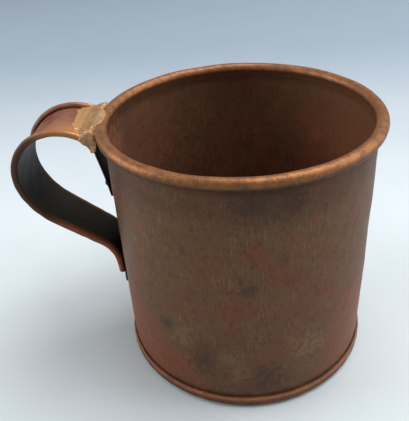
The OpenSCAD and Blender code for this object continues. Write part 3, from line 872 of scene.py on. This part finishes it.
groove = 0.22 * np.exp(-((from_rim - ridge_at - 1.3) / 0.5) ** 2) * ease(s_all, 0, 6) * (1 - bead_zone)
rough_share = ease(from_rim, 4.5, 1.0) + 1.3 * bead_zone
rough_part = 0.08 * uneven(s_all * 1.5, from_rim * 1.5, 53, 9, 1, 3) * rough_share
ripple = 0.05 * uneven(s_all / 2, from_rim / 2, 54)
thick = there * (film + ridge - groove + ripple + rough_part) - 0.25 * (1 - there)
thick = thick + 0.45 * ease(from_rim, 5, 0.5) * bead_zone * (s_all > 0)
bead_drop = curl_r * (1 - np.sin(np.radians(np.minimum(bead_side, 90))))
bead_drop = np.concatenate([bead_drop, 0 * flat_cols, bead_drop[::-1]])
bead_share = np.concatenate([ease(bead_side, 5, 75), 1 + 0 * flat_cols, ease(bead_side[::-1], 5, 75)])
feather = ease(u, 0.90, 1.0) * bead_share
thick = thick * (1 - feather) - 0.08 * feather


def braze_skin(extra):
    """The strap's outer face lifted along its normal, which towards the rim climbs over the
    corner and onto the roll between the two wired edges."""
    rise = n_all + m_all[..., 1] * extra
    s = s_all + m_all[..., 0] * extra
    low = on_strap(braze_st, s, rise, np.zeros(braze_rows))
    on_roll = np.clip(far_reach - roll_reach, -roll_out + 0.02, roll_out - 0.02)
    roll_top = roll_z + np.sqrt(roll_out ** 2 - on_roll ** 2)
    crown_top = crown_c[1] + np.sqrt(np.maximum(crown_face ** 2 - (far_reach - crown_c[0]) ** 2, 0))
    slope = mug_h - 0.55 - (far_reach - rim_r) * 0.26
    fill = np.where(far_reach > roll_reach + 1.0, np.maximum(slope, crown_top), roll_top)
    fill = np.where(far_reach > crown_until, crown_top, fill)
    padded = np.pad(fill, ((3, 3), (0, 0)), mode="edge")
    settle = ease(u, 0.86, 1.0)
    fill = sum(padded[k:k + braze_rows] for k in range(7)) / 7 * (1 - settle) + roll_top * settle - 0.12
    pull = (roll_reach - np.sqrt(roll_reach ** 2 - s ** 2)) * ease(far_reach, 59, 51)
    high = np.stack([-(far_reach - pull) + 0 * s, -s, np.minimum(fill + extra, mug_h - 0.01) - bead_drop], -1)
    gather = ease(u, 0.55, 0.85)
    flat_share = ((1 - bead_zone) * (1 - gather) + bead_share * gather)[..., None]
    return low * (1 - flat_share) + high * flat_share


skin = braze_skin(thick)
under = braze_skin(np.minimum(thick, 0) - 0.28)
braze = loft("rim_braze_brass", np.concatenate([skin, under[:, ::-1]], 1))

f = Finish("rough_brass_braze")
p = f.place()
cloud = f.noise(p, 0.22, 4, 0.6)
patch = f.noise(p, 0.7, 4, 0.65)
grain = f.noise(p, 2.6, 3, 0.7)
x = f.node("ShaderNodeSeparateXYZ", None, {0: p}, 0)
tongue_tip = f.step(x + (patch - 0.5) * 1.5, -(rim_r + 3.8), -(rim_r + 4.6))
at_rim = f.step(x, -(rim_r + 0.8), -(rim_r - 1.2))
colour = f.mix(f.step(cloud, 0.38, 0.62), tone(158, 120, 80), tone(136, 102, 68))
colour = f.mix(tongue_tip * 0.8, colour, tone(190, 146, 94))
colour = f.mix(f.step(patch, 0.50, 0.68) * 0.45, colour, tone(142, 104, 66))
colour = f.mix(f.step(patch, 0.46, 0.32) * 0.5, colour, tone(196, 152, 100))
colour = f.mix(f.step(grain, 0.60, 0.76) * 0.5, colour, tone(112, 84, 50))
colour = f.mix(f.step(grain, 0.36, 0.24) * 0.7, colour, tone(222, 182, 128))
colour = f.mix(at_rim * f.step(grain, 0.50, 0.62) * 0.8, colour, tone(236, 200, 144))
relief = patch + grain * 0.5
braze.data.materials.append(f.surface(colour, 0.42 + (patch - 0.5) * 0.3, 0.6, relief, 0.00018))
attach(braze, "root")
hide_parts("rim_braze")

# ---------------------------------------------------------------------------------------
# Floor, light and camera. A pale matt floor, a broad soft light overhead with paler panels at
# the sides, and a camera held close, a little above the rim, with the handle to its left.
# ---------------------------------------------------------------------------------------
bpy.ops.mesh.primitive_plane_add(size=6, location=(0, 0, -0.0002))
floor = bpy.context.object
floor.name = "studio_floor"
f = Finish("pale_floor")
p = f.place()
weave = f.noise(p, 0.02, 3, 0.5)
colour = f.mix(weave, tone(174, 182, 187), tone(186, 194, 198))
# Painted shade: the floor darkens towards the back, where the light falls off
behind = f.node("ShaderNodeSeparateXYZ", None, {0: p}, 1)
colour = f.mix(f.step(behind, 20, 420) * 0.8, colour, tone(112, 128, 144))
rough = 0.95 + (weave - 0.5) * 0.05
floor.data.materials.append(f.surface(colour, rough, 0.0, weave, 0.0002, {"Specular IOR Level": 0.1}))

world = bpy.data.worlds.new("soft_sky")
world.use_nodes = True
world.node_tree.nodes["Background"].inputs["Color"].default_value = (1.0, 0.98, 0.96, 1)
world.node_tree.nodes["Background"].inputs["Strength"].default_value = 0.48
bpy.context.scene.world = world
bpy.context.scene.view_settings.view_transform = "Standard"


def panel(name, place, size, power):
    """A square soft light that faces the middle of the mug."""
    light = bpy.data.lights.new(name, "AREA")
    light.shape, light.size, light.energy = "SQUARE", size, power
    lamp = bpy.data.objects.new(name, light)
    lamp.location = place
    lamp.rotation_euler = (Vector((0, 0, 0.05)) - Vector(place)).to_track_quat("-Z", "Y").to_euler()
    bpy.context.scene.collection.objects.link(lamp)


panel("overhead", (0.35, 0.15, 1.1), 0.9, 16)
panel("left_side", (-1.0, 0.05, 0.5), 0.8, 9)
panel("right_side", (1.0, 0.1, 0.5), 0.8, 7)

camera_data = bpy.data.cameras.new("camera")
camera = bpy.data.objects.new("camera", camera_data)
bpy.context.scene.collection.objects.link(camera)
bpy.context.scene.camera = camera
camera_data.sensor_fit = "HORIZONTAL"
camera_data.sensor_width = 36
camera_data.lens = 48.39
camera_data.clip_start = 0.01
camera_range = 0.220
camera_rise = 0.606
aim_z = 0.050
turned = {"yaw": 0.0676, "pitch": 0.025, "roll": 0.0247}
back_way = Vector((0, -math.cos(camera_rise), math.sin(camera_rise)))
right, ahead = Vector((1, 0, 0)), -back_way
up = right.cross(ahead)
yaw = Matrix.Rotation(turned["yaw"], 3, up)
right, ahead = yaw @ right, yaw @ ahead
pitch = Matrix.Rotation(turned["pitch"], 3, right)
up, ahead = pitch @ up, pitch @ ahead
roll_turn = Matrix.Rotation(turned["roll"], 3, ahead)
right, up = roll_turn @ right, roll_turn @ up
camera.matrix_world = Matrix.Translation(back_way * camera_range + Vector((0, 0, aim_z))) @ Matrix(
    (right, up, -ahead)).transposed().to_4x4()
